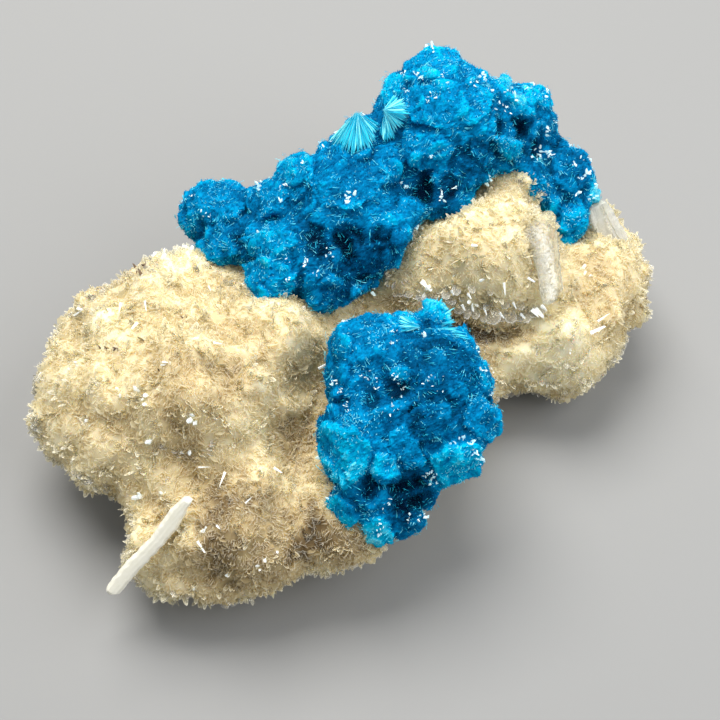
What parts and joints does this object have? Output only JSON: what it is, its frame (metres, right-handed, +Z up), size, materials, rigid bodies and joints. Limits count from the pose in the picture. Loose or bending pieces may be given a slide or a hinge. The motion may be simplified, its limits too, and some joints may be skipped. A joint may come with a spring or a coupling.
{
  "type": "cavansite mineral specimen",
  "caption": "Free-standing mineral specimen: blue cavansite ball sprays on a lumpy cream stilbite crust, for display on a flat surface.",
  "frame": {"origin": "middle of the flat broken base that the specimen rests on", "axes": "+X along the specimen's longest side, +Y towards the back ridge of blue crystals, +Z up from the base"},
  "size_m": [0.0821, 0.0703, 0.0373],
  "materials": {
    "stilbite_cream": "pearly, sugary with small translucent blades",
    "cavansite_blue": "vitreous needle tips, cyan at the thin edges",
    "stilbite_white": "milky, pearly cleavage faces",
    "zeolite_clear": "colourless and frosty with a glassy tip"
  },
  "bodies": {
    "root": {"stilbite_crust": "stilbite_cream", "cavansite_ridge": "cavansite_blue", "cavansite_cluster": "cavansite_blue", "white_stilbite_blade": "stilbite_white", "clear_stilbite_blade": "zeolite_clear", "clear_end_crystal": "zeolite_clear"}
  },
  "joints": []
}
